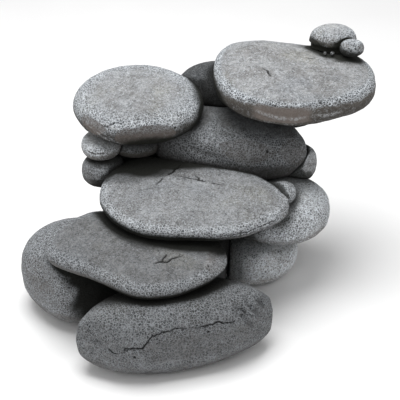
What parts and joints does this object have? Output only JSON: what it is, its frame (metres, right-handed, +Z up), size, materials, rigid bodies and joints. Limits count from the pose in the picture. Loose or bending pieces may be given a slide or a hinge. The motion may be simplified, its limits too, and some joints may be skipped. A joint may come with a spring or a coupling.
{
  "type": "tabletop water fountain",
  "caption": "Stack of smooth grey river stones and slabs leaning up to the right, with a hidden pump and riser that feed water to the top slab.",
  "frame": {"origin": "on the surface the fountain stands on, at the middle rubber foot under the pump chamber", "axes": "+X to the right as seen from the front, -Y to the front, +Z up"},
  "size_m": [0.3689, 0.322, 0.2543],
  "materials": {
    "stone_pale": "matte, speckled",
    "stone_mid": "matte, speckled",
    "stone_dark": "matte, speckled",
    "pump_plastic": "satin",
    "dial_plastic": "satin",
    "rotor": "matte",
    "ceramic": "polished",
    "rubber": "matte",
    "core_steel": "satin",
    "coil_copper": "enamelled wire",
    "foam": "open cell",
    "clear_tube": "clear",
    "clamp_plastic": "satin",
    "nozzle_brass": "satin",
    "pin_steel": "satin"
  },
  "bodies": {
    "root": {"top_slab": "stone_pale", "left_top_stone": "stone_pale", "top_pebble": "stone_pale", "small_top_pebble": "stone_pale", "outlet_chips": "stone_pale", "neck_stone": "stone_pale", "middle_slab": "stone_mid", "slab_end_pebble": "stone_mid", "back_stone": "stone_mid", "right_small_stone": "stone_mid", "right_middle_stone": "stone_mid", "left_upper_pebble": "stone_mid", "left_lower_pebble": "stone_mid", "wedge_stone": "stone_mid", "rear_upper_stone": "stone_mid", "rear_neck_stone": "stone_mid", "rear_left_stone": "stone_mid", "rear_right_stone": "stone_mid", "low_slab": "stone_dark", "front_base_stone": "stone_dark", "left_base_stone": "stone_dark", "right_base_stone": "stone_dark", "rear_left_base_stone": "stone_dark", "rear_right_base_stone": "stone_dark", "pump_chamber": "stone_dark", "pump_body": "pump_plastic", "pump_cover": "pump_plastic", "impeller_shaft": "ceramic", "shaft_bushes": "rubber", "cover_seal": "rubber", "suction_cups": "rubber", "cord_gland": "rubber", "rubber_feet": "rubber", "stator_core": "core_steel", "stator_coil": "coil_copper", "intake_sponge": "foam", "riser_tube": "clear_tube", "tube_clamp": "clamp_plastic", "outlet_nozzle": "nozzle_brass", "dowel_pins": "pin_steel"},
    "impeller": {"impeller": "rotor"},
    "flow_dial": {"flow_dial": "dial_plastic"},
    "rear_door": {"rear_door": "stone_dark", "door_pads": "rubber"}
  },
  "joints": [
    {"name": "impeller_spin", "type": "hinge", "parent": "root", "child": "impeller", "pos_m": [-0.022, 0.075, 0.036], "axis": [0, 1, 0], "continuous": true},
    {"name": "flow_dial_turn", "type": "hinge", "parent": "root", "child": "flow_dial", "pos_m": [-0.022, 0.1, 0.036], "axis": [0, 1, 0], "range_deg": [0, 30]},
    {"name": "rear_door_slide", "type": "slide", "parent": "root", "child": "rear_door", "axis": [0, 1, 0], "range_m": [0, 0.06]}
  ]
}
